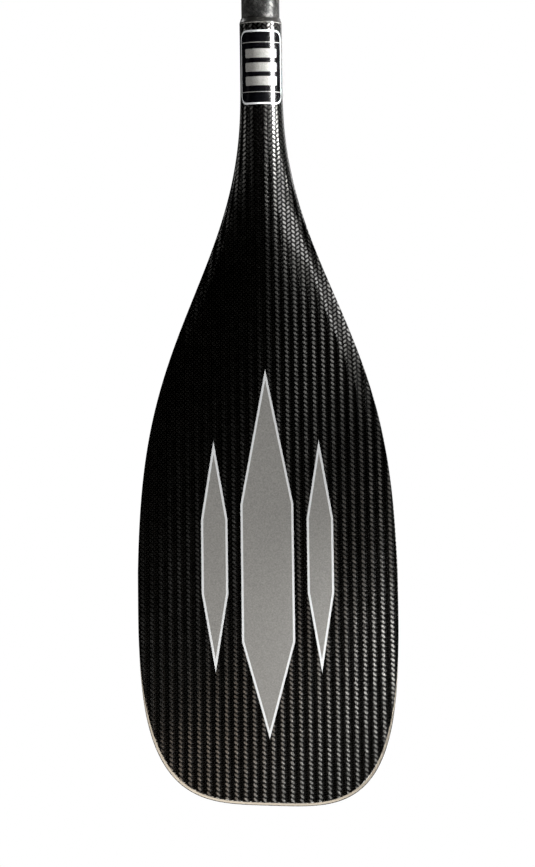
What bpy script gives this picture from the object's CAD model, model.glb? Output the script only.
"""Looks of the stand-up paddle: laminates, prints, shafts, clamp, grip and the studio they are shown in."""

import math

import bpy
import numpy as np
from mathutils import Matrix, Quaternion, Vector


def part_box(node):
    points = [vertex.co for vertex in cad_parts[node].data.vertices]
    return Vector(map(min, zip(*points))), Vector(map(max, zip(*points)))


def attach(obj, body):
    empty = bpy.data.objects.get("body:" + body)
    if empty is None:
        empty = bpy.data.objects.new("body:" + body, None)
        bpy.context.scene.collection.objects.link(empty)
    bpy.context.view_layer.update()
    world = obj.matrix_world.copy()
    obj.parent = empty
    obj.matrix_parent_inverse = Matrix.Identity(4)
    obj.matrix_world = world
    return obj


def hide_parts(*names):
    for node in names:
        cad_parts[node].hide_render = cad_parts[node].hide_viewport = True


bl_info = {
    "name": "Stand-up paddle looks",
    "version": (1, 0, 0),
    "blender": (4, 5, 0),
    "location": "View3D > Sidebar > Paddle",
    "description": "Dresses the stand-up paddle's frame and sets up its studio",
    "category": "Object",
}

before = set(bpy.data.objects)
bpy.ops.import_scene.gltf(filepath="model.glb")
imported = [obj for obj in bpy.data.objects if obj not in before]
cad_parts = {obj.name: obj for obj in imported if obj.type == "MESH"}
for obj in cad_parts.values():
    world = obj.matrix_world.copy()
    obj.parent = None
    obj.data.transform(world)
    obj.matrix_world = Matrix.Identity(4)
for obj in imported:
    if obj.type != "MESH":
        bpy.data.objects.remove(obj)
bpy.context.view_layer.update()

GAP = 0.0003  # between pieces that touch
INK = 0.00003  # a printed layer's thickness, and its lift off what carries it
CLOTH = "cloth"  # the UV map that holds metres across and along a piece's cloth
ROOT_HALF = math.sqrt(0.5)
QUARTER_TURN = math.pi / 2
SHARP = math.radians(35.0)
FAR_BEHIND = (0.0, 10.0, 0.0)
WHITE = (1.0, 1.0, 1.0)


# Sizes and colours that a user would change


class PaddleSizes(bpy.types.PropertyGroup):
    shaft_neck_radius: bpy.props.FloatProperty(
        name="Shaft end radius", description="Radius of the lower shaft in the socket", default=0.0132, unit="LENGTH"
    )
    shaft_radius: bpy.props.FloatProperty(
        name="Shaft radius",
        description="Radius of the lower shaft above its taper",
        default=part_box("lower_shaft")[1].x,
        unit="LENGTH",
    )
    tow: bpy.props.FloatProperty(
        name="Tow pitch", description="Width of one carbon tow in the blade's cloth", default=0.00222, unit="LENGTH"
    )
    braid: bpy.props.FloatProperty(
        name="Braid pitch", description="Width of one carbon tow in the shafts' braid", default=0.0022, unit="LENGTH"
    )


class PaddleColours(bpy.types.PropertyGroup):
    fibre: bpy.props.FloatVectorProperty(
        name="Fibre", description="Colour of a lit carbon float", default=(0.205, 0.201, 0.190), subtype="COLOR"
    )
    resin: bpy.props.FloatVectorProperty(
        name="Resin", description="Colour of the gaps between floats", default=(0.002, 0.002, 0.002), subtype="COLOR"
    )
    silver: bpy.props.FloatVectorProperty(
        name="Silver print", description="Colour of the silver ink", default=(0.29, 0.285, 0.27), subtype="COLOR"
    )
    keyline: bpy.props.FloatVectorProperty(
        name="Keyline", description="Colour of the white ink", default=(0.84, 0.86, 0.87), subtype="COLOR"
    )
    rail: bpy.props.FloatVectorProperty(
        name="Edge rail", description="Colour of the blade's edge rail", default=(0.54, 0.48, 0.39), subtype="COLOR"
    )


def sizes():
    return bpy.context.scene.paddle_sizes


def colour(name):
    return tuple(getattr(bpy.context.scene.paddle_colours, name))


def shade(tint, by, add=0.0):
    """A colour made darker or lighter by a factor, then by an amount."""
    return tuple(min(1.0, c * by + add) for c in tint)


def settle(made, **settings):
    """Give something its settings, in the order in which they are named."""
    for setting, value in settings.items():
        setattr(made, setting, value)
    return made


def placed(name, data):
    """A new object in the scene."""
    made = bpy.data.objects.new(name, data)
    bpy.context.scene.collection.objects.link(made)
    return made


# Shader maths


def maths(operation, reverse=False):
    """An operator or method that adds one Math node."""

    def added(self, *others):
        terms = (self, *others)[:: -1 if reverse else 1]
        return self.nodes.node("ShaderNodeMath", {"operation": operation}, **{f"_{k}": v for k, v in enumerate(terms)})

    return added


class Value:
    """One output of a node, in expressions that add the nodes they need."""

    def __init__(self, nodes, socket):
        self.nodes, self.socket = nodes, socket

    __add__ = __radd__ = maths("ADD")
    __mul__ = __rmul__ = maths("MULTIPLY")
    __sub__, __rsub__ = maths("SUBTRACT"), maths("SUBTRACT", reverse=True)
    __truediv__, __mod__ = maths("DIVIDE"), maths("FLOORED_MODULO")
    __lt__, __abs__ = maths("LESS_THAN"), maths("ABSOLUTE")
    floor, fract, sin, least = maths("FLOOR"), maths("FRACT"), maths("SINE"), maths("MINIMUM")

    def rise(self, low, high):
        """0 below low, 1 above high, smooth between."""
        settings = {"interpolation_type": "SMOOTHSTEP"}
        return self.nodes.node("ShaderNodeMapRange", settings, Value=self, From_Min=low, From_Max=high)


class Nodes:
    """The nodes of a material or a world."""

    def __init__(self, owner):
        owner.use_nodes = True
        self.tree = owner.node_tree

    def put(self, node, **sockets):
        """Set or link a node's sockets, each by its name or by an underscore and its place."""
        for name, value in sockets.items():
            key = name.replace("_", " ").strip()
            slot = node.inputs[int(key) if key.isdigit() else key]
            if isinstance(value, Value):
                self.tree.links.new(value.socket, slot)
            else:
                slot.default_value = value

    def node(self, kind, settings=None, outlet=0, **sockets):
        """A node of one kind, its settings made first, then the values or links of its sockets."""
        made = settle(self.tree.nodes.new(kind), **(settings or {}))
        self.put(made, **sockets)
        return Value(self, made.outputs[outlet])


class Finish(Nodes):
    """One material: its shader, or its two shaders where fibre runs two ways, and the nodes that feed them."""

    SHEEN_TURNS = (0.875, 0.125)

    def __init__(self, name, **uniform):
        self.material = bpy.data.materials.new(name)
        super().__init__(self.material)
        self.shaders = [self.tree.nodes["Principled BSDF"]]
        self.uniform = uniform
        self.put(self.shaders[0], **uniform)

    def crossed(self, share):
        """Fibre in two directions: a second shader over the first by a share, each with its own turn of the sheen."""
        over = self.node("ShaderNodeBsdfPrincipled", **self.uniform)
        self.shaders.append(over.socket.node)
        for shader, turn in zip(self.shaders, self.SHEEN_TURNS):
            self.put(shader, Anisotropic_Rotation=turn)
        first = Value(self, self.shaders[0].outputs[0])
        both = self.node("ShaderNodeMixShader", _0=share, _1=first, _2=over)
        self.put(self.tree.nodes["Material Output"], Surface=both)

    def object_place(self):
        return self.node("ShaderNodeTexCoord", outlet="Object")

    def split(self, vector):
        parts = self.node("ShaderNodeSeparateXYZ", _0=vector).socket.node
        return [Value(self, out) for out in parts.outputs]

    def cloth(self):
        """Metres across and along the piece's own cloth."""
        return self.split(self.node("ShaderNodeUVMap", {"uv_map": CLOTH}))[:2]

    def noise(self, scale, detail=2.0, rough=0.5, stretch=WHITE):
        """Soft noise from 0 to 1 at a number of blotches to the metre, by object place."""
        where = self.node("ShaderNodeVectorMath", {"operation": "MULTIPLY"}, _0=self.object_place(), _1=stretch)
        settings = {"noise_dimensions": "3D"}
        return self.node("ShaderNodeTexNoise", settings, Vector=where, Scale=scale, Detail=detail, Roughness=rough)

    def vector(self, x, y, z):
        return self.node("ShaderNodeCombineXYZ", _0=x, _1=y, _2=z)

    def chance(self, *numbers):
        """One fixed number from 0 to 1 for each set of whole numbers."""
        return self.node("ShaderNodeTexWhiteNoise", {"noise_dimensions": "3D"}, Vector=self.vector(*numbers))

    def blend(self, share, low, high):
        """A colour between two, by a share from 0 to 1."""
        low, high = [c if isinstance(c, Value) else (*c, 1.0) for c in (low, high)]
        return self.node("ShaderNodeMix", {"data_type": "RGBA"}, 2, _0=share, _6=low, _7=high)

    def lean(self, across, along):
        """The shading normal leant by two slopes, across and along the cloth."""
        slopes = self.vector(across * 0.5 + 0.5, along * 0.5 + 0.5, 1.0)
        return self.node("ShaderNodeNormalMap", {"space": "TANGENT", "uv_map": CLOTH}, Strength=1.0, Color=slopes)

    def bump(self, height, distance, strength):
        return self.node("ShaderNodeBump", Height=height, Distance=distance, Strength=strength)

    def feed(self, **sockets):
        """Feed what varies over the surface to every shader, and give the material."""
        for shader in self.shaders:
            self.put(shader, **sockets)
        return self.material


# Finishes


def woven(finish, pitch, crown=0.12, dive=0.16, gap=(0.20, 0.72)):
    """A two-by-two twill of tows at 45 degrees on the cloth's map, with its sheen along the tows.

    Each float is a tow that arches over two others: round across its width, straight along its middle, and
    diving at its ends with the cube of the reach. Returns which of the two sets is on top, the leant normal, how
    near a place is to its float's edge, from 0 to 1, and the float's own number.
    """
    side_weight, end_weight = 4.6, 1.07
    top_set, under_set = 57.0, 31.0
    across, along = finish.cloth()
    falling = (across - along) * (ROOT_HALF / pitch)
    rising = (across + along) * (ROOT_HALF / pitch)
    row, column = rising.floor(), falling.floor()
    step = (row + column) % 4.0
    on_top = step < 1.5
    under = 1.0 - on_top
    in_row, in_column = rising.fract(), falling.fract()
    reach_top = step + in_column - 1.0
    reach_under = step - 2.0 + in_row - 1.0
    reach = reach_under + (reach_top - reach_under) * on_top
    side_top, side_under = in_row - 0.5, in_column - 0.5
    side = side_under + (side_top - side_under) * on_top
    cross_lean = side * (2.0 * crown)
    end_lean = reach * reach * reach * dive
    fall_slope = on_top * end_lean + under * cross_lean
    rise_slope = on_top * cross_lean + under * end_lean
    normal = finish.lean((fall_slope + rise_slope) * ROOT_HALF, (rise_slope - fall_slope) * ROOT_HALF)
    edge = (side * side * side_weight + reach * reach * end_weight).rise(*gap)
    place = (row + column - step) / 4.0
    number = finish.chance(row * on_top + under_set * under, column * under + top_set * on_top, place)
    finish.crossed(on_top)
    return on_top, normal, edge, number


def float_tone(finish, cloud, edge, number, depth):
    """Each float's own tone under a cloud of light and dark, sinking to the resin's in the gaps."""
    level = (number * 0.3 + 0.8) * (cloud * 0.5 + 0.75) * (1.0 - edge * depth)
    return finish.blend(level.least(1.0), colour("resin"), colour("fibre"))


def gloss_twill():
    """Carbon twill under clear epoxy, which mirrors on the floats and breaks up over the dark gaps."""
    finish = Finish("gloss_carbon_twill", Coat_Weight=1.0, Coat_Roughness=0.05, Coat_IOR=1.5, IOR=1.5, Anisotropic=1.0)
    _, normal, edge, number = woven(finish, sizes().tow)
    tone = float_tone(finish, finish.noise(26.0, 3.0), edge, number, 0.97)
    rough, metal, clear = 0.31 + number * 0.03, 1.0 - edge * 0.3, 1.0 - edge * 0.94
    return finish.feed(Base_Color=tone, Roughness=rough, Metallic=metal, Coat_Weight=clear, Normal=normal)


def satin_twill(name):
    """Carbon twill with the gloss rubbed off by hands: duller over the palm, with fine scratches."""
    finish = Finish(name, Coat_Weight=0.5, Coat_Roughness=0.30, Coat_IOR=1.5, IOR=1.5, Anisotropic=0.9)
    _, normal, edge, number = woven(finish, sizes().tow, gap=(0.80, 1.50))
    worn = finish.noise(40.0, 3.0)
    scratch = finish.noise(900.0, 2.0, 0.5, (0.2, 1.0, 1.0)).rise(0.6, 0.75)
    tone = float_tone(finish, worn, edge, number, 0.95)
    rough = 0.36 + worn * 0.08 + scratch * 0.1
    return finish.feed(Base_Color=tone, Roughness=rough, Metallic=1.0 - edge * 0.3, Normal=normal)


def closing(radius, wanted):
    """The tow pitch nearest to the wanted one whose twill meets itself round a tube of a radius."""
    turn = math.pi * radius / math.sqrt(2.0)
    return turn / round(turn / wanted)


def satin_braid(name, radius, dark, light):
    """A shaft's braid under a dull rubbed resin, mottled where tows bunch."""
    finish = Finish(name, IOR=1.5, Anisotropic=0.3)
    on_top, normal, edge, number = woven(finish, closing(radius, sizes().braid), 0.06, 0.05, (0.90, 1.60))
    mottle = finish.noise(170.0, 3.0, 0.6).rise(0.38, 0.66)
    speck = finish.noise(900.0, 2.0, 0.6).rise(0.62, 0.74)
    level = (number * 0.5 + on_top * 0.18 + 0.22) * (mottle * 0.8 + 0.45) * (1.0 - edge * 0.7) + speck * 0.35
    tone = finish.blend(level.least(1.0), dark, light)
    rough = 0.42 + mottle * 0.08 - speck * 0.10
    return finish.feed(Base_Color=tone, Roughness=rough, Metallic=0.75 - edge * 0.3, Normal=normal)


def moulded(name, tint, roughness, grain=0.00004):
    """Injection-moulded plastic with a fine spark-eroded grain and faint handling marks."""
    finish = Finish(name, IOR=1.5)
    fine = finish.noise(2600.0, 3.0, 0.6)
    cloud = finish.noise(45.0, 3.0)
    tone = finish.blend(cloud, shade(tint, 0.8), shade(tint, 1.25, 0.002))
    rough = (fine * 0.10 + cloud * 0.12) + (roughness - 0.10)
    return finish.feed(Base_Color=tone, Roughness=rough, Normal=finish.bump(fine, grain, 0.6))


def printed(name, tint, grain, roughness):
    """Screen-printed ink with a fine metallic grain and a soft drift of tone along the blade."""
    finish = Finish(name, Coat_Weight=1.0, Coat_Roughness=0.05, IOR=1.5)
    speck = finish.noise(900.0, 4.0, 0.9).rise(0.30, 0.70)
    height = finish.split(finish.object_place())[2]
    drift = height.rise(-0.85, -0.55) * 0.25 + 0.85
    tone = finish.blend((speck * drift * 1.2).least(1.0), shade(tint, 1.0 - grain), shade(tint, 1.0 + grain))
    return finish.feed(Base_Color=tone, Roughness=speck * 0.1 + (roughness - 0.05))


def rubbed_rail():
    """The edge rail's cream plastic, dulled and browned in patches."""
    finish = Finish("edge_rail_abs", Roughness=0.45, IOR=1.5)
    streak = finish.noise(300.0, 4.0, 0.6)
    patch = finish.noise(60.0, 2.0).rise(0.45, 0.75)
    tone = finish.blend(streak, shade(colour("rail"), 0.80), shade(colour("rail"), 1.15))
    tone = finish.blend(patch * 0.35, tone, (0.30, 0.21, 0.13))
    fine = finish.noise(1800.0, 3.0)
    return finish.feed(Base_Color=tone, Roughness=0.38 + streak * 0.2, Normal=finish.bump(fine, 0.00003, 0.5))


def cured_glue():
    """Thick black epoxy with soft ripples."""
    finish = Finish("black_epoxy", Coat_Weight=0.5, Coat_Roughness=0.08, IOR=1.5)
    ripple = finish.noise(420.0, 2.0)
    tone = finish.blend(ripple, (0.020, 0.020, 0.019), (0.065, 0.063, 0.058))
    return finish.feed(Base_Color=tone, Roughness=0.30 + ripple * 0.15, Normal=finish.bump(ripple, 0.0002, 0.6))


def turned_steel():
    """Stainless steel with fine rings from the lathe and a faint cloud."""
    finish = Finish("stainless_steel", Metallic=1.0)
    ring = finish.noise(1500.0, 3.0, 0.6, (0.3, 1.0, 0.3))
    tone = finish.blend(finish.noise(300.0, 2.0), (0.50, 0.50, 0.51), (0.68, 0.68, 0.68))
    return finish.feed(Base_Color=tone, Roughness=0.20 + ring * 0.18, Normal=finish.bump(ring, 0.00002, 0.5))


def closed_foam(name, tint):
    """Closed-cell foam, darker in the middle of each cell."""
    finish = Finish(name, IOR=1.4)
    cell = finish.node("ShaderNodeTexVoronoi", outlet="Distance", Vector=finish.object_place(), Scale=900.0)
    tone = finish.blend((cell * 1.6).least(1.0), shade(tint, 0.75), tint)
    return finish.feed(Base_Color=tone, Roughness=0.85 + cell * 0.1, Normal=finish.bump(cell, 0.0004, 0.7))


def palm_rubber():
    """Soft rubber with a grid of small round dimples and a dull bloom."""
    dimples = 1250.0
    finish = Finish("grip_pad_rubber", IOR=1.45)
    x, y, z = finish.split(finish.object_place())
    over = z - abs(y)
    dimple = abs((x * dimples).sin() * (over * dimples).sin()).rise(0.20, 0.90)
    cloud = finish.noise(70.0, 3.0)
    tone = finish.blend(cloud, (0.018, 0.018, 0.019), (0.045, 0.045, 0.047))
    return finish.feed(Base_Color=tone, Roughness=0.62 + cloud * 0.2, Normal=finish.bump(dimple, 0.0003, 0.5))


# The shapes' formulas


def smooth(value, start=0.0, reach=1.0):
    """Rise from 0 to 1 over a reach, with level ends: three times the square less twice the cube."""
    t = np.clip((value - start) / reach, 0.0, 1.0)
    return t * t * (3.0 - 2.0 * t)


class Outline:
    """Half of a flat outline: a straight neck, a flare, then one quarter of a superellipse.

    The flare's half width is the neck's plus the widest rise times one less the exponential of minus a power of
    the distance from the flare's start. The end's is the widest times the root of one less a power of the share
    of the way to the end.
    """

    def __init__(self, neck, half_width, length, widest, flare_start, flare_reach, flare_power, end_power):
        self.neck, self.half_width, self.length, self.widest = neck, half_width, length, widest
        self.flare_start, self.flare_reach, self.flare_power = flare_start, flare_reach, flare_power
        self.end_power = end_power
        self.corner_share = 0.5 ** (1.0 / end_power)
        self.corner = widest + (length - widest) * self.corner_share

    def flare(self, station):
        """One less the exponential of minus a power of the distance past the flare's start over its reach."""
        t = np.clip((station - self.flare_start) / self.flare_reach, 0.0, None)
        return 1.0 - np.exp(-(t**self.flare_power))

    def half(self, rows, inset):
        """Half width at each row, less an inset."""
        rise = self.flare(rows) / self.flare(self.widest)
        side = self.neck + (self.half_width - self.neck) * rise - inset
        share = np.clip((rows - self.widest) / (self.length - self.widest), 0.0, 1.0)
        end = (self.half_width - inset) * (1.0 - share**self.end_power) ** (1.0 / self.end_power)
        return np.where(rows > self.widest, end, side)

    def station(self, u, rows, inset, last):
        """Distance down the middle line of the points that lie u of the half width across in each row.

        The inset is the row's own, and last is that of the last row.
        """
        end_reach = self.length - self.widest
        share = np.clip((rows - self.widest) / end_reach, 0.0, 1.0)
        plain = np.where(rows > self.widest, self.widest + share * (end_reach - inset), rows)
        x_share = self.corner_share * np.abs(u)
        bulge = (1.0 - x_share**self.end_power) ** (1.0 / self.end_power) - self.corner_share
        start = self.neck + self.widest / 2
        reach = smooth(rows, start, self.corner - start)
        return plain + reach * bulge * (end_reach - last)

    def rows(self, count, end_count):
        """Stations down the side, closer together at the end's corner."""
        side = np.linspace(0.0, self.widest, count, endpoint=False)
        end = self.widest + (self.corner - self.widest) * np.sin(np.linspace(0.0, QUARTER_TURN, end_count))
        return np.concatenate([side, end])


# The part's own sizes: lengths in metres, and stations run down the blade from the socket's rim
RIM_Z = -0.350
NECK_RADIUS = 0.0146
BLADE = Outline(NECK_RADIUS, 0.0885, 0.5382, 0.380, 0.0382, 0.1842, 2.48, 3.6)
TIP_SLANT = 0.0435
CANT = math.radians(10.0)
BEND_START, BEND_LENGTH = 0.095, 0.095
SKIN_WALL = 0.0011
FEATHER_SHARE, EDGE_ROUND_SHARE = 0.05, 0.45
SPINE_START, FRONT_SPINE_END, POWER_SPINE_END = 0.070, 0.470, 0.220
SECTION_CHANGE_END = 0.200
FRONT_BELLY, BELLY_CREST, POWER_FACE_RISE = 0.0016, 0.340, 0.0004
RIDGE_SOFTNESS, RIDGE_SHARE, EDGE_FALL = 0.25, 0.8, 0.20
RAIL_TOP, RAIL_RAMP, RAIL_LEAD = 0.130, 0.100, 0.003
RAIL_HALF_THICKNESS, RAIL_DEPTH, RAIL_START_SHARE = 0.0008, 0.0050, 0.25
TIP_BEVEL_START, TIP_BEVEL_RAMP = 0.420, 0.090
FRONT_SKIN_SETBACK, RAIL_FRONT_SETBACK, RAIL_BACK_SETBACK = 0.0019, 0.0016, 0.0004

LOWER_WALL, LOWER_CHAMFER = 0.0015, 0.0003
TAPER_START, TAPER_END = RIM_Z + 0.050, RIM_Z + 0.250
UPPER_RADIUS, UPPER_WALL, UPPER_STEP = 0.0124, 0.0016, 0.0002
KEY_HALF_WIDTH, KEY_DEPTH = 0.0015, 0.0008
MARKS, MARK_TOP, MARK_STEP, MARK_HALF_HEIGHT = 27, 0.690, 0.02, 0.0004
LONG_MARK_EVERY, LONG_MARK, SHORT_MARK = 5, math.radians(48.0), math.radians(26.0)

GRIP = Outline(0.0151, 0.0510, 0.098, 0.068, 0.020, 0.026, 3.0, 2.6)
GRIP_HALF_DEPTH, GRIP_WALL, GRIP_Z = 0.0165, 0.0024, 0.7026
CAP_START, CAP_WALL = 0.064, 0.0016


def middle_line(station):
    """The blade's middle line: its lean rises smoothly to the cant, and its place is the running sum of that."""
    fine = np.linspace(0.0, BLADE.length * 1.1, 2001)
    lean = CANT * smooth(fine, BEND_START, BEND_LENGTH)
    step = fine[1] - fine[0]

    def running(slopes):
        sums = np.concatenate([[0.0], np.cumsum((slopes[1:] + slopes[:-1]) * step / 2)])
        return np.interp(station, fine, sums)

    return running(np.sin(lean)), running(np.cos(lean)), np.interp(station, fine, lean)


def blade_place(x, station, height):
    """A point from its place across, its station and its height to the front of the middle line.

    Below the widest place the stations slant with the place across, so that the right corner is lower.
    """
    slant = TIP_SLANT * smooth(station, BLADE.widest, BLADE.length - BLADE.widest)
    forward, down, lean = middle_line(station + slant * x)
    return np.stack([x, -forward - height * np.cos(lean), RIM_Z - down + height * np.sin(lean)], axis=-1)


def rail_share(rows):
    """Share of the rail's whole section: its start share at the top, then a smooth rise to 1 over its ramp."""
    return RAIL_START_SHARE + (1.0 - RAIL_START_SHARE) * smooth(rows, RAIL_TOP, RAIL_RAMP)


def rail_lead(rows):
    """0 above the rail's lead, 1 from the rail's top down, straight between."""
    return np.clip((rows - RAIL_TOP + RAIL_LEAD) / RAIL_LEAD, 0.0, 1.0)


def parting(rows):
    """Half the space between the laminates at the outline."""
    at_rail = RAIL_HALF_THICKNESS * rail_share(rows) + GAP
    return GAP / 2 + (at_rail - GAP / 2) * rail_lead(rows)


def tip_bevel(rows):
    """Share of the setbacks round the tip: 0 above the bevel's start, then a smooth rise to 1 over its ramp."""
    return smooth(rows, TIP_BEVEL_START, TIP_BEVEL_RAMP)


def height_share(front, u, rows):
    """Height share across a face: a circle at the neck, then an eased flat, and on the front mostly a soft ridge."""
    flank = smooth(1.0 - np.abs(u), reach=EDGE_FALL)
    if front:
        far = math.sqrt(1.0 + RIDGE_SOFTNESS**2)
        ridge = (far - np.sqrt(u**2 + RIDGE_SOFTNESS**2)) / (far - RIDGE_SOFTNESS)
        flank = RIDGE_SHARE * ridge + (1.0 - RIDGE_SHARE) * flank
    change = smooth(rows, SPINE_START, SECTION_CHANGE_END - SPINE_START)
    return (1.0 - change) * np.sqrt(np.clip(1.0 - u**2, 0.0, 1.0)) + change * flank


def crown(front, rows):
    """Height of a face's middle: the neck's, falling along the spine, then a slight belly or rise."""
    edge = parting(rows) + SKIN_WALL
    spine = 1.0 - smooth(rows, SPINE_START, (FRONT_SPINE_END if front else POWER_SPINE_END) - SPINE_START)
    if front:
        fade = 1.0 - smooth(rows, BELLY_CREST, BLADE.corner - BELLY_CREST)
        swell = FRONT_BELLY * (smooth(rows, SPINE_START, BELLY_CREST) * fade)
    else:
        swell = POWER_FACE_RISE * smooth(rows, SPINE_START, POWER_SPINE_END)
    return edge + (NECK_RADIUS - edge) * spine + swell


def skin_at(rows):
    """Thickness of a laminate at its edge: a feather at the socket, whole from the rail down."""
    change = smooth(rows, SPINE_START, RAIL_TOP - SPINE_START)
    return SKIN_WALL * (FEATHER_SHARE + (1.0 - FEATHER_SHARE) * change)


def edge_height(rows):
    """Height of a laminate's outer face at its edge: half the space between the two, and its own thickness."""
    return parting(rows) + skin_at(rows)


def edge_radius(rows):
    """Radius of a laminate's rounded edge: a share of its thickness there."""
    return EDGE_ROUND_SHARE * skin_at(rows)


def laminate_height(front, u, rows):
    """Height of a laminate's outer face: its edge's, then the height share of the way up to its crown."""
    edge = edge_height(rows)
    return edge + (crown(front, rows) - edge) * height_share(front, u, rows)


def setback(front, rows):
    """How far a laminate's edge is moved in from the outline: the front one's by the tip's share, the rear's not."""
    return FRONT_SKIN_SETBACK * tip_bevel(rows) if front else np.zeros_like(rows)


def on_front(x, station, lift):
    """A place on the front laminate, lifted off it along its normal.

    The row that runs through a place across and a station is found by repeated correction, and the normal's
    lean across from the heights a tenth of a millimetre to both sides.
    """
    rounds, ease, step = 30, 0.8, 0.0001

    def inset_at(rows):
        return edge_radius(rows) + setback(True, rows)

    def height(x):
        rows = np.array(station, float)
        last = inset_at(np.array(BLADE.corner))
        for _ in range(rounds):
            inset = inset_at(rows)
            u = np.clip(x / BLADE.half(rows, inset), -1.0, 1.0)
            rows = rows + ease * (station - BLADE.station(u, rows, inset, last))
        return laminate_height(True, u, rows)

    slope = (height(x + step) - height(x - step)) / (2.0 * step)
    run = np.sqrt(1.0 + slope**2)
    return blade_place(x - lift * slope / run, station, height(x) + lift / run)


# Mesh making


def flat(net):
    """A net's points or map as one list."""
    return net.reshape(-1, net.shape[-1])


def quads_of(rows, cols, start=0, wrap=False):
    """Corners of a grid's faces, with its last column joined to its first where it wraps."""
    r, c = np.meshgrid(np.arange(rows - 1), np.arange(cols - (0 if wrap else 1)), indexing="ij")
    n = (c + 1) % cols
    return start + flat(np.stack([r * cols + c, r * cols + n, (r + 1) * cols + n, (r + 1) * cols + c], axis=-1))


def border_of(rows, cols):
    """A grid's outer points, once round."""
    index = np.arange(rows * cols).reshape(rows, cols)
    return np.concatenate([index[0, :], index[1:, -1], index[-1, -2::-1], index[-2:0:-1, 0]])


def shell_of(rows, cols, start=0, loops=()):
    """Faces of the closed body between a grid and a second one after it, past the loops that round its edge."""
    count, ring = rows * cols, border_of(rows, cols)
    quads = [quads_of(rows, cols), quads_of(rows, cols, count)[:, ::-1]]
    chain = [ring, *loops, ring + count]
    for near, far in zip(chain, chain[1:]):
        quads.append(np.stack([np.roll(near, -1), near, far, np.roll(far, -1)], axis=-1))
    return start + np.concatenate(quads)


def arc_across(steps):
    """Distance across a net's rows from its middle column, from the lengths of its steps."""
    run = np.concatenate([np.zeros((len(steps), 1)), np.cumsum(steps, axis=1)], axis=1)
    return run - run[:, [(steps.shape[1] + 1) // 2]]


STANDS_FOR = {  # the carried piece that a new piece replaces, and its slot
    "front_laminate": ("blade_front_skin", "gloss_carbon_twill"),
    "power_laminate": ("blade_power_skin", "gloss_carbon_twill"),
    "edge_line": ("blade_edge_rail", "edge_rail_abs"),
    "braided_tube": ("lower_shaft", "satin_carbon_braid"),
    "glue_fillet": ("rim_glue_bead", "black_epoxy"),
    "sliding_tube": ("upper_shaft", "satin_carbon_upper"),
    "front_shell": ("grip_front_shell", "grip_carbon"),
    "back_shell": ("grip_back_shell", "grip_carbon"),
    "palm_cap": ("grip_palm_pad", "grip_pad_rubber"),
}


def build(name, points, quads, finish, body, maps=None, texture_centre=(0.0, 0.0, 0.0)):
    """One finished piece from arrays: points, quads, and a cloth map given for each point or each corner.

    The sheen's direction runs round an upright line through the texture centre. A centre far behind a flat
    piece keeps the direction level across it.
    """
    a, b, c, d = points[quads.T]
    if maps is not None and maps.ndim == 2:
        maps = maps[quads]
    if (a * (np.cross(b, c) + np.cross(c, d))).sum() < 0.0:
        quads = quads[:, ::-1]
        maps = None if maps is None else maps[:, ::-1]
    mesh = bpy.data.meshes.new(name)
    mesh.from_pydata(points, [], quads)
    if maps is not None:
        mesh.uv_layers.new(name=CLOTH).data.foreach_set("uv", maps.astype(np.float32).ravel())
    if mesh.validate():
        raise RuntimeError(f"{name} has faces that don't hold")
    mesh.shade_smooth()
    mesh.set_sharp_from_angle(angle=SHARP)
    settle(mesh, use_auto_texspace=False, texspace_location=texture_centre, texspace_size=(1.0, 1.0, 1.0))
    mesh.materials.append(finish)
    made = placed(name, mesh)
    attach(made, body)
    if name in STANDS_FOR:
        node, slot = STANDS_FOR[name]
        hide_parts(node)


def welded(points, quads, reach=1e-6):
    """Points that lie on one place made one, and the faces that close up between them left out."""
    key = np.round(points / reach).astype(np.int64)
    _, first, same = np.unique(key, axis=0, return_index=True, return_inverse=True)
    quads = same.reshape(-1)[quads]
    corners = np.array([len(set(quad)) for quad in quads.tolist()])
    return points[first], quads[corners == 4]


def divided(profile, step=0.012):
    """A closed profile with each stretch cut into equal parts no longer than a step."""
    points = []
    for (radius, height), (next_radius, next_height) in zip(profile, profile[1:] + profile[:1]):
        rise, climb = next_radius - radius, next_height - height
        parts = math.ceil(math.hypot(rise, climb) / step)
        points += [(radius + rise * k / parts, height + climb * k / parts) for k in range(parts)]
    return points


def turned(name, profile, finish, body, steps=96, cut=None):
    """A closed profile of (radius, height) points turned once round Z, with the cloth's map wrapped round it.

    It starts at the back. A cut gives what is taken off the radius at each point of the profile and each angle.
    """
    profile = np.asarray(profile, float)
    count = len(profile)
    angle = np.linspace(math.pi, 3.0 * math.pi, steps, endpoint=False)
    radius = np.repeat(profile[:, :1], steps, axis=1)
    if cut is not None:
        radius = radius - cut(profile, angle)
    z = np.repeat(profile[:, 1:], steps, axis=1)
    points = flat(np.stack([radius * np.sin(angle), -radius * np.cos(angle), z], axis=-1))
    quads = quads_of(count + 1, steps, wrap=True) % (count * steps)
    column = np.arange(steps + 1) / steps * (2.0 * math.pi * profile[:, 0].max())
    low, high = profile[:, 1], np.roll(profile[:, 1], -1)
    corner_u = np.stack([column[:-1], column[1:], column[1:], column[:-1]], axis=-1)
    corner_v = np.stack([low, low, high, high], axis=-1)
    maps = np.stack([np.tile(corner_u, (count, 1)), np.repeat(corner_v, steps, axis=0)], axis=-1)
    build(name, points, quads, finish, body, maps)


def sheet(rows, u, inset, height):
    """Places across, stations and points of a net over the blade's outline, moved in by a row's own inset."""
    grid_u, grid_rows = np.meshgrid(u, rows)
    x = BLADE.half(rows, inset)[:, None] * grid_u
    station = BLADE.station(grid_u, grid_rows, inset[:, None], inset[-1])
    return x, station, blade_place(x, station, height)


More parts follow.
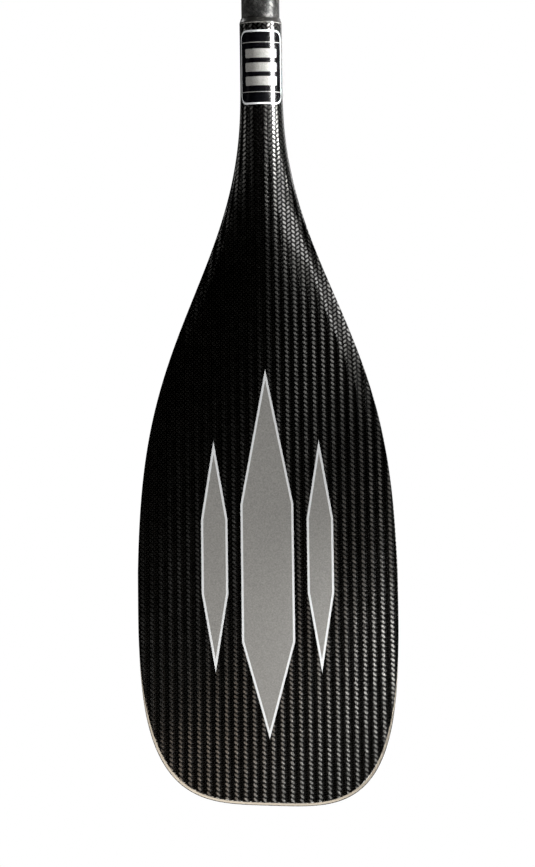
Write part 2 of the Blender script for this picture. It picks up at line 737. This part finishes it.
def laminate(front, rows, u):
    """One of the blade's two laminates: its outer face, rounded edge, ledge over the rail, and inner face."""
    side = 1.0 if front else -1.0
    back, radius, low = setback(front, rows), edge_radius(rows), parting(rows)
    grid_u, grid_rows = np.meshgrid(u, rows)
    height = laminate_height(front, grid_u, grid_rows)
    x, station, outer = sheet(rows, u, back + radius, side * height)
    run = arc_across(np.hypot(np.diff(x, axis=1), np.diff(height, axis=1)))
    cloth = flat(np.stack([run * side, -station], axis=-1))

    ring = border_of(len(rows), len(u))
    high, levels = edge_height(rows), []
    for turn in (QUARTER_TURN / 2, QUARTER_TURN):
        levels.append((back + radius * (1.0 - math.sin(turn)), high - radius * (1.0 - math.cos(turn))))
    levels.append((back, low))
    loops = [flat(sheet(rows, u, inset, side * level[:, None])[2])[ring] for inset, level in levels]
    ledge = SKIN_WALL + (RAIL_DEPTH * rail_share(rows) + GAP - SKIN_WALL) * rail_lead(rows)
    inside = (crown(front, rows) - SKIN_WALL - low)[:, None] * height_share(front, grid_u, grid_rows)
    outer, inner = flat(outer), flat(sheet(rows, u, ledge, side * (low[:, None] + inside))[2])
    top = ring < len(u)
    for loop, amount in zip(loops, (0.25, 0.5, 0.75)):
        loop[top] = outer[ring[top]] * (1.0 - amount) + inner[ring[top]] * amount

    places = [2 * len(outer) + np.arange(len(ring)) + k * len(ring) for k in range(len(loops))]
    maps = np.concatenate([cloth, cloth, *[cloth[ring]] * len(loops)])
    return np.concatenate([outer, inner, *loops]), shell_of(len(rows), len(u), loops=places), maps


def rail_strip(rows, u):
    """The rail round the blade's edge: a four-cornered section carried round the outline, shoulder to shoulder."""
    half, bevel, depth = parting(rows) - GAP, tip_bevel(rows), RAIL_DEPTH * rail_share(rows)
    corners = ((RAIL_FRONT_SETBACK * bevel, half), (RAIL_BACK_SETBACK * bevel, -half), (depth, -half), (depth, half))
    lines = []
    for inset, height in corners:
        net = sheet(rows, u, inset, height[:, None])[2]
        lines.append(np.concatenate([net[:, 0], net[-1, 1:-1], net[::-1, -1]]))
    count, sides = len(lines[0]), len(corners)
    last = (count - 1) * sides
    caps = np.array([[3, 2, 1, 0], [last, last + 1, last + 2, last + 3]])
    return flat(np.stack(lines, axis=1)), np.concatenate([quads_of(count, sides, wrap=True), caps])


def between(outer, inner):
    """The closed body between two nets of one shape, and its cloth map: arc across, distance down the net."""
    run = arc_across(np.linalg.norm(np.diff(outer, axis=1), axis=-1))
    maps = flat(np.stack([run, outer[..., 2]], axis=-1))
    return np.concatenate([flat(outer), flat(inner)]), shell_of(*outer.shape[:2]), np.concatenate([maps, maps])


def grip_depth(rows):
    """Half depth of the grip: it swells to its widest row, then closes as a quarter circle to nothing."""
    swell = GRIP.neck + (GRIP_HALF_DEPTH - GRIP.neck) * smooth(rows, reach=GRIP.widest)
    close = np.clip((rows - GRIP.widest) / (GRIP.corner - GRIP.widest), 0.0, 1.0)
    return swell * np.sqrt(1.0 - close**2)


def grip_net(side, rows, u, inset, apart):
    """One half of the grip's surface, moved in by an inset or out by a negative one, and apart from the other."""
    x = GRIP.half(rows, inset)[:, None] * u[None, :]
    grid_u, grid_rows = np.meshgrid(u, rows)
    station = GRIP.station(grid_u, grid_rows, inset, inset)
    depth = np.clip(grip_depth(rows) - inset * np.minimum(1.0, grip_depth(rows) / GRIP_WALL), 0.0, None)
    height = apart + depth[:, None] * np.sqrt(1.0 - u**2)[None, :]
    return np.stack([x, side * height, GRIP_Z + station], axis=-1)


def palm_cap(rows, u):
    """The cap over the grip's end: an outer and an inner skin of two halves each, joined at their lower rims."""
    nets = [grip_net(side, rows, u, -GAP - grow, 0.0) for grow in (CAP_WALL, 0.0) for side in (-1.0, 1.0)]
    count, cols = rows.size * u.size, u.size
    quads = [quads_of(rows.size, cols, k * count)[:, :: (-1 if k in (1, 2) else 1)] for k in range(4)]
    first = np.arange(cols - 1)
    for half, turn in ((0, 1), (1, -1)):
        near, far = half * count + first, (half + 2) * count + first
        quads.append(np.stack([near, far, far + 1, near + 1], axis=-1)[:, ::turn])
    return welded(np.concatenate([flat(net) for net in nets]), np.concatenate(quads))


def marks(cols=21):
    """Thin lines of ink part of the way round the upper shaft's front, each a closed body: points and faces."""
    points, quads = [], []
    for count in range(MARKS):
        half_angle = SHORT_MARK if count % LONG_MARK_EVERY else LONG_MARK
        angle, middle = np.linspace(-half_angle, half_angle, cols), MARK_TOP - MARK_STEP * count
        quads.append(shell_of(2, cols, 4 * cols * count))
        for r in (UPPER_RADIUS + INK + INK, UPPER_RADIUS + INK):
            for z in (middle - MARK_HALF_HEIGHT, middle + MARK_HALF_HEIGHT):
                points.append(np.stack([r * np.sin(angle), -r * np.cos(angle), np.full_like(angle, z)], axis=-1))
    return np.concatenate(points), np.concatenate(quads)


def ink(name, stations, half_widths, finish, layer=0.0, middle=0.0, round_neck=False):
    """A thin closed layer of ink on the front: a half width at each station, either side of a middle.

    On the neck the widths are measured round the socket, so the place across is the neck's radius times the sine
    of the arc over the radius.
    """
    across = middle + half_widths[:, None] * np.linspace(-1.0, 1.0, 27)[None, :]
    if round_neck:
        across = NECK_RADIUS * np.sin(across / NECK_RADIUS)
    along = np.repeat(stations[:, None], across.shape[1], axis=1)
    lift = INK + layer * INK
    points = np.concatenate([flat(on_front(across, along, lift + INK)), flat(on_front(across, along, lift))])
    build(name, points, shell_of(*across.shape), finish, "lower_section")


def pointed(start, end, half_width, first_taper, last_taper, grow=0.0):
    """Stations and half widths of a straight-edged band with pointed ends, grown all round by a margin."""
    rise, fall = half_width / first_taper, half_width / last_taper
    start -= grow * math.hypot(1.0, 1.0 / rise)
    end += grow * math.hypot(1.0, 1.0 / fall)
    knees = [start, start + (half_width + grow) / rise, end - (half_width + grow) / fall, end]
    stations = np.unique(np.concatenate([np.linspace(a, b, 40) for a, b in zip(knees, knees[1:])]))
    width = np.minimum((stations - start) * rise, (end - stations) * fall)
    return stations, np.clip(width, 0.00002, half_width + grow)


def rounded(start, end, half_width, radius):
    """Stations and half widths of a rounded rectangle: each corner is a quarter circle."""
    turn = radius * (1.0 - np.sin(np.linspace(0.0, QUARTER_TURN, 12)))
    stations = np.unique(np.concatenate([start + turn, np.linspace(start + radius, end - radius, 30), end - turn]))
    inside = np.clip(np.minimum(stations - start, end - stations), 0.0, radius)
    return stations, half_width - radius + np.sqrt(radius**2 - (radius - inside) ** 2)


def soften(node, finish, edge):
    """Give a carried piece its finish, and round its sharp edges with a fine bevel."""
    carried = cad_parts[node]
    carried.data.materials.clear()
    carried.data.materials.append(finish)
    new = carried.modifiers.new
    settle(new("joined_corners", "WELD"), merge_threshold=0.000002)
    settle(new("whole_faces", "DECIMATE"), decimate_type="DISSOLVE", angle_limit=math.radians(0.5))
    settle(new("rounded_edges", "BEVEL"), width=edge, segments=2, limit_method="ANGLE", angle_limit=SHARP)
    settle(new("even_shading", "WEIGHTED_NORMAL"), mode="FACE_AREA", weight=50)


# Operators


class PADDLE_OT_prints(bpy.types.Operator):
    """The plain graphic of tapered bands on the blade, and the plain label round the socket"""

    bl_idname = "paddle.prints"
    bl_label = "Prints"

    KEYLINE = 0.0015
    SECOND_LAYER, THIRD_LAYER = 1.3, 2.6
    BANDS = (  # name, middle, start, end, half width, first taper, last taper
        ("middle", 0.0, 0.250, 0.488, 0.0165, 0.085, 0.060),
        ("left", -0.036, 0.300, 0.440, 0.0075, 0.045, 0.045),
        ("right", 0.036, 0.300, 0.440, 0.0075, 0.045, 0.045),
    )
    LABEL, LABEL_RIM = (0.0056, 0.0566, 0.0176, 0.0066), 0.0013  # start, end, half width, corner radius
    LABEL_PARTS = (  # name, starts, length, half width, corner radius
        ("bar", (0.0185, 0.0280, 0.0375), 0.0062, 0.0118, 0.0008),
        ("line", (0.0138, 0.0478), 0.0005, 0.0156, 0.0002),
    )

    def execute(self, context):
        silver = printed("silver_ink", colour("silver"), 0.22, 0.42)
        white = printed("white_ink", colour("keyline"), 0.03, 0.35)
        black = printed("black_ink", (0.004, 0.004, 0.005), 0.3, 0.22)
        for name, middle, *shape in self.BANDS:
            ink(f"{name}_band_keyline", *pointed(*shape, self.KEYLINE), white, 0.0, middle)
            ink(f"{name}_band", *pointed(*shape), silver, self.SECOND_LAYER, middle)
        start, *rest = self.LABEL
        field = rounded(start + self.LABEL_RIM, *[size - self.LABEL_RIM for size in rest])
        ink("label_keyline", *rounded(*self.LABEL), white, round_neck=True)
        ink("label_field", *field, black, self.SECOND_LAYER, round_neck=True)
        for name, starts, length, half_width, radius in self.LABEL_PARTS:
            for count, start in enumerate(starts, 1):
                shape = rounded(start, start + length, half_width, radius)
                ink(f"label_{name}_{count}", *shape, silver, self.THIRD_LAYER, round_neck=True)
        return {"FINISHED"}


class PADDLE_OT_blade(bpy.types.Operator):
    """Two carbon laminates and the cream rail between their edges"""

    bl_idname = "paddle.blade"
    bl_label = "Blade"

    ACROSS, DOWN, ROUND_CORNER = 65, 120, 50

    def execute(self, context):
        u = np.sin(np.linspace(-QUARTER_TURN, QUARTER_TURN, self.ACROSS))
        u = 0.5 * u + 0.5 * np.linspace(-1.0, 1.0, self.ACROSS)
        rows = np.sort(np.append(BLADE.rows(self.DOWN, self.ROUND_CORNER), RAIL_TOP - RAIL_LEAD))
        twill = gloss_twill()
        for name, front in (("front_laminate", True), ("power_laminate", False)):
            points, quads, maps = laminate(front, rows, u)
            build(name, points, quads, twill, "lower_section", maps, FAR_BEHIND)
        build("edge_line", *rail_strip(rows[rows >= RAIL_TOP], u), rubbed_rail(), "lower_section")
        return {"FINISHED"}


class PADDLE_OT_lower_shaft(bpy.types.Operator):
    """The braided lower shaft and the cured glue on the socket's rim"""

    bl_idname = "paddle.lower_shaft"
    bl_label = "Lower shaft"

    GLUE = ((0.0002, 0.0030), (0.0005, 0.0016), (0.0009, 0.0007))  # out from the shaft, up from the rim
    GLUE_FOOT = 0.0003
    RIM_LIFT, RIM_DROP, RIM_HEIGHT = 0.00002, 0.0001, 0.0005

    def execute(self, context):
        low, high = [corner.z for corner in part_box("lower_shaft")]
        neck, radius = sizes().shaft_neck_radius, sizes().shaft_radius
        wall = [(radius, high), (radius, TAPER_END), (neck, TAPER_START), (neck, low)]
        outer = [(radius - LOWER_CHAMFER, high), (radius, high - LOWER_CHAMFER), *wall[1:]]
        inner = [(r - LOWER_WALL, z) for r, z in wall[::-1]]
        braid = satin_braid("satin_carbon_braid", radius, (0.012, 0.012, 0.013), (0.20, 0.20, 0.19))
        turned("braided_tube", divided(outer + inner), braid, "lower_section")
        base, side = RIM_Z + GAP, neck + GAP
        bead = [(side + out, base + up) for out, up in self.GLUE]
        bead += [(NECK_RADIUS, base + self.GLUE_FOOT), (NECK_RADIUS, base), (side, base), (side, bead[0][1])]
        turned("glue_fillet", bead, cured_glue(), "lower_section")
        worn = printed("worn_rim", (0.30, 0.29, 0.27), 0.3, 0.4)
        near, top = NECK_RADIUS + self.RIM_LIFT, RIM_Z - self.RIM_DROP
        far, foot = near + INK, top - self.RIM_HEIGHT
        turned("rim_edge", [(near, top), (far, top), (far, foot), (near, foot)], worn, "lower_section")
        return {"FINISHED"}


class PADDLE_OT_upper_shaft(bpy.types.Operator):
    """The sliding upper shaft with its key groove and its length marks"""

    bl_idname = "paddle.upper_shaft"
    bl_label = "Upper shaft"

    def execute(self, context):
        low, high = [corner.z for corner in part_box("upper_shaft")]
        grip_end = GRIP_Z - GAP
        braid = satin_braid("satin_carbon_upper", UPPER_RADIUS, (0.010, 0.010, 0.011), (0.15, 0.15, 0.15))
        ends = (low, low + UPPER_STEP, grip_end - UPPER_STEP, grip_end, high)
        profile = [(UPPER_RADIUS, z) for z in ends[::-1]] + [(UPPER_RADIUS - UPPER_WALL, z) for z in ends]

        def groove(profile, angle):
            """The key's depth, off the outer wall below the grip and within the key's half width of the left side."""
            from_key = np.abs((angle + 1.5 * math.pi) % (2.0 * math.pi) - math.pi)
            inside = from_key < math.asin(KEY_HALF_WIDTH / UPPER_RADIUS)
            below = profile[:, 1:] < grip_end - UPPER_STEP / 2
            return KEY_DEPTH * inside[None, :] * (below & (profile[:, :1] > UPPER_RADIUS - UPPER_WALL / 2))

        turned("sliding_tube", divided(profile), braid, "upper_section", 240, groove)
        white = printed("mark_ink", (0.62, 0.62, 0.60), 0.05, 0.4)
        build("length_marks", *marks(), white, "upper_section")
        return {"FINISHED"}


class PADDLE_OT_grip(bpy.types.Operator):
    """The palm grip: two carbon shells with a parting line, and the soft dimpled cap under the palm"""

    bl_idname = "paddle.grip"
    bl_label = "Grip"

    ACROSS, DOWN, ROUND_CORNER = 49, 56, 28

    def execute(self, context):
        u = np.sin(np.linspace(-QUARTER_TURN, QUARTER_TURN, self.ACROSS))
        rows = GRIP.rows(self.DOWN, self.ROUND_CORNER)
        shell = satin_twill("grip_carbon")
        for name, side in (("front_shell", -1.0), ("back_shell", 1.0)):
            points, quads, maps = between(*[grip_net(side, rows, u, inset, GAP / 2) for inset in (0.0, GRIP_WALL)])
            build(name, points, quads, shell, "upper_section", maps, FAR_BEHIND)
        build("palm_cap", *palm_cap(rows[rows > CAP_START], u), palm_rubber(), "upper_section")
        return {"FINISHED"}


class PADDLE_OT_clamp(bpy.types.Operator):
    """The cam clamp's moulded and turned pieces, with rounded edges, and the inner pieces' finishes"""

    bl_idname = "paddle.clamp"
    bl_label = "Clamp and inner pieces"

    def execute(self, context):
        steel = turned_steel()
        plug = moulded("grey_plug_plastic", (0.10, 0.10, 0.10), 0.55)
        for node, finish, edge in (
            ("clamp_collar", moulded("clamp_nylon", (0.020, 0.020, 0.022), 0.42), 0.0005),
            ("clamp_bush", moulded("bush_acetal", (0.50, 0.50, 0.49), 0.40, 0.00002), 0.0003),
            ("clamp_saddle", moulded("saddle_acetal", (0.55, 0.55, 0.54), 0.40, 0.00002), 0.0002),
            ("clamp_bolt", steel, 0.0002),
            ("clamp_washer", steel, 0.0002),
            ("clamp_barrel", steel, 0.0004),
            ("clamp_lever", moulded("lever_nylon", (0.024, 0.024, 0.026), 0.38), 0.0005),
            ("upper_end_plug", moulded("black_end_plug", (0.025, 0.025, 0.026), 0.50), 0.0004),
            ("grip_stem_plug", plug, 0.0),
            ("shaft_foot_plug", plug, 0.0),
            ("shaft_float_plug", closed_foam("float_plug_foam", (0.62, 0.62, 0.60)), 0.0),
            ("blade_foam_core", closed_foam("core_foam", (0.80, 0.74, 0.60)), 0.0),
            ("grip_foam_core", closed_foam("grip_foam", (0.78, 0.77, 0.70)), 0.0),
        ):
            soften(node, finish, edge)
        return {"FINISHED"}


class PADDLE_OT_stage(bpy.types.Operator):
    """Pale floor, soft lights and the camera"""

    bl_idname = "paddle.stage"
    bl_label = "Studio"

    FLOOR_Z, FLOOR_HALF = -1.9, 30.0
    CAMERA_PLACE, CAMERA_LENS = (0.00109, -1.8, RIM_Z - 0.22396), 107.36
    CAMERA_PITCH, CAMERA_ROLL = math.atan(0.06 / 1.8), math.radians(0.757)
    BLADE_MIDDLE, FLARE, NECK = (0.0, 0.0, -0.60), (0.03, -0.02, -0.50), (0.0, 0.0, -0.385)
    LOWER_RIGHT, CORNER, RIGHT_EDGE = (0.08, -0.05, -0.80), (0.08, -0.05, -0.77), (0.09, -0.04, -0.70)
    LOWER_BACK, UPPER_TUBE = (-0.03, 0.0, -0.70), (0.0, 0.0, 0.42)
    WARM = (1.0, 0.82, 0.67)
    LIGHTS = (  # name, aimed at, (azimuth, height) in degrees, distance, size, watts, roll, spread, tint
        ("window", BLADE_MIDDLE, (66.0, 11.9), 2.2, (1.00, 0.11), 2.6),
        ("neck_strip", NECK, (61.0, 6.0), 0.12, (0.024, 0.073), 0.085, 0.0, 75.0),
        ("flare_strip", FLARE, (62.0, 26.0), 0.8, (0.08, 0.50), 0.30, -45.0),
        ("flare_mid", FLARE, (56.0, 31.0), 0.6, (0.08, 0.25), 0.04, -45.0),
        ("flare_near", FLARE, (50.0, 38.0), 0.5, (0.10, 0.25), 0.14, -45.0),
        ("flare_glow", FLARE, (44.0, 20.0), 0.25, (0.05, 0.11), 0.085, -45.0),
        ("right_side", LOWER_RIGHT, (52.0, 42.0), 0.2, (0.05, 0.08), 0.070, -45.0, 70.0),
        ("low_left", CORNER, (-39.5, -33.5), 1.2, (0.12, 0.20), 4.0, -45.0),
        ("low_near", RIGHT_EDGE, (-36.0, -28.0), 0.4, (0.08, 0.16), 0.11, -45.0, 180.0, WARM),
        ("left", BLADE_MIDDLE, (-78.0, 0.0), 2.2, (0.3, 0.7), 0.6),
        ("below", BLADE_MIDDLE, (-14.0, -48.0), 1.6, (0.9, 0.5), 24.0),
        ("card", BLADE_MIDDLE, (150.0, 15.0), 2.5, (1.6, 1.8), 12.0),
        ("back_left", BLADE_MIDDLE, (-130.0, 35.0), 3.0, (1.2, 1.2), 12.0),
        ("back_low", LOWER_BACK, (140.5, -33.5), 1.2, (0.2, 0.3), 6.0, -45.0),
        ("upper_right", UPPER_TUBE, (48.0, 8.0), 2.0, (0.8, 0.8), 5.0, 0.0, 14.0),
        ("upper_left", UPPER_TUBE, (-62.0, 8.0), 2.0, (0.8, 0.8), 3.0, 0.0, 14.0),
        ("upper_back", UPPER_TUBE, (168.0, 8.0), 2.0, (0.8, 0.8), 4.0, 0.0, 14.0),
    )

    def execute(self, context):
        view = settle(context.scene.view_settings, view_transform="Standard", use_curve_mapping=True)
        view.curve_mapping.black_level = (0.002, 0.002, 0.002)
        view.curve_mapping.update()
        self.surroundings(context.scene)
        self.floor()
        for light in self.LIGHTS:
            self.light(*light)
        self.camera(context.scene)
        return {"FINISHED"}

    def surroundings(self, scene):
        """A world that is white where the camera sees it and dim where it lights the paddle."""
        world = scene.world = bpy.data.worlds.new("studio")
        nodes = Nodes(world)
        dim = nodes.tree.nodes["Background"]
        nodes.put(dim, Color=(1.0, 0.95, 0.88, 1.0), Strength=0.003)
        white = nodes.node("ShaderNodeBackground", Color=(*WHITE, 1.0), Strength=1.0)
        seen = nodes.node("ShaderNodeLightPath", outlet="Is Camera Ray")
        mix = nodes.node("ShaderNodeMixShader", _0=seen, _1=Value(nodes, dim.outputs[0]), _2=white)
        nodes.put(nodes.tree.nodes["World Output"], Surface=mix)

    def floor(self):
        """A pale floor that glows evenly and casts nothing on the paddle."""
        glow = {"Emission_Color": (*WHITE, 1.0), "Emission_Strength": 1.0}
        pale = Finish("pale_floor", Base_Color=(0.0, 0.0, 0.0, 1.0), Specular_IOR_Level=0.0, **glow)
        mesh = bpy.data.meshes.new("floor")
        far = self.FLOOR_HALF
        mesh.from_pydata([(-far, -far, 0), (far, -far, 0), (far, far, 0), (-far, far, 0)], [], [(0, 1, 2, 3)])
        mesh.materials.append(pale.material)
        floor = settle(placed("floor", mesh), visible_diffuse=False, visible_glossy=False)
        floor.location.z = self.FLOOR_Z

    def light(self, name, target, direction, distance, size, power, roll=0.0, spread=180.0, tint=WHITE):
        """A soft rectangular light, aimed from an azimuth to the right of the camera's side and a height."""
        azimuth, height = [math.radians(angle) for angle in direction]
        level = math.cos(height)
        away = Vector((math.sin(azimuth) * level, -math.cos(azimuth) * level, math.sin(height)))
        data = settle(bpy.data.lights.new(name, "AREA"), shape="RECTANGLE", size=size[0], size_y=size[1])
        settle(data, energy=power, color=tint, spread=math.radians(spread))
        lamp = settle(placed(name, data), location=Vector(target) + away * distance, visible_camera=False)
        aim = (-away).to_track_quat("-Z", "Y") @ Quaternion((0.0, 0.0, 1.0), math.radians(roll))
        lamp.rotation_euler = aim.to_euler()

    def camera(self, scene):
        """The photograph's camera: a little above the blade's middle, looking slightly down, rolled slightly."""
        data = settle(bpy.data.cameras.new("camera"), sensor_width=36.0, lens=self.CAMERA_LENS)
        settle(data, clip_start=0.05, clip_end=100.0)
        camera = scene.camera = settle(placed("camera", data), location=self.CAMERA_PLACE)
        look = Vector((0.0, math.cos(self.CAMERA_PITCH), -math.sin(self.CAMERA_PITCH)))
        right = look.cross(Vector((math.sin(self.CAMERA_ROLL), 0.0, math.cos(self.CAMERA_ROLL)))).normalized()
        above = right.cross(look).normalized()
        camera.rotation_euler = Matrix((right, above, -look)).transposed().to_euler()


class PADDLE_PT_panel(bpy.types.Panel):
    """The paddle's sizes, its colours and its operators"""

    bl_label = "Stand-up paddle"
    bl_idname = "PADDLE_PT_panel"
    bl_space_type = "VIEW_3D"
    bl_region_type = "UI"
    bl_category = "Paddle"

    def draw(self, context):
        for group in (context.scene.paddle_sizes, context.scene.paddle_colours):
            box = self.layout.box()
            for name in group.bl_rna.properties.keys():
                if name not in ("rna_type", "name"):
                    box.prop(group, name)
        for operator in OPERATORS:
            self.layout.operator(operator.bl_idname)


OPERATORS = (
    PADDLE_OT_stage,
    PADDLE_OT_blade,
    PADDLE_OT_prints,
    PADDLE_OT_lower_shaft,
    PADDLE_OT_upper_shaft,
    PADDLE_OT_grip,
    PADDLE_OT_clamp,
)
CLASSES = (PaddleSizes, PaddleColours, *OPERATORS, PADDLE_PT_panel)


def register():
    for found in CLASSES:
        bpy.utils.register_class(found)
    bpy.types.Scene.paddle_sizes = bpy.props.PointerProperty(type=PaddleSizes)
    bpy.types.Scene.paddle_colours = bpy.props.PointerProperty(type=PaddleColours)


def unregister():
    del bpy.types.Scene.paddle_colours
    del bpy.types.Scene.paddle_sizes
    for found in reversed(CLASSES):
        bpy.utils.unregister_class(found)


def main():
    register()
    for operator in OPERATORS:
        group, name = operator.bl_idname.split(".")
        getattr(getattr(bpy.ops, group), name)()


if __name__ == "__main__":
    main()
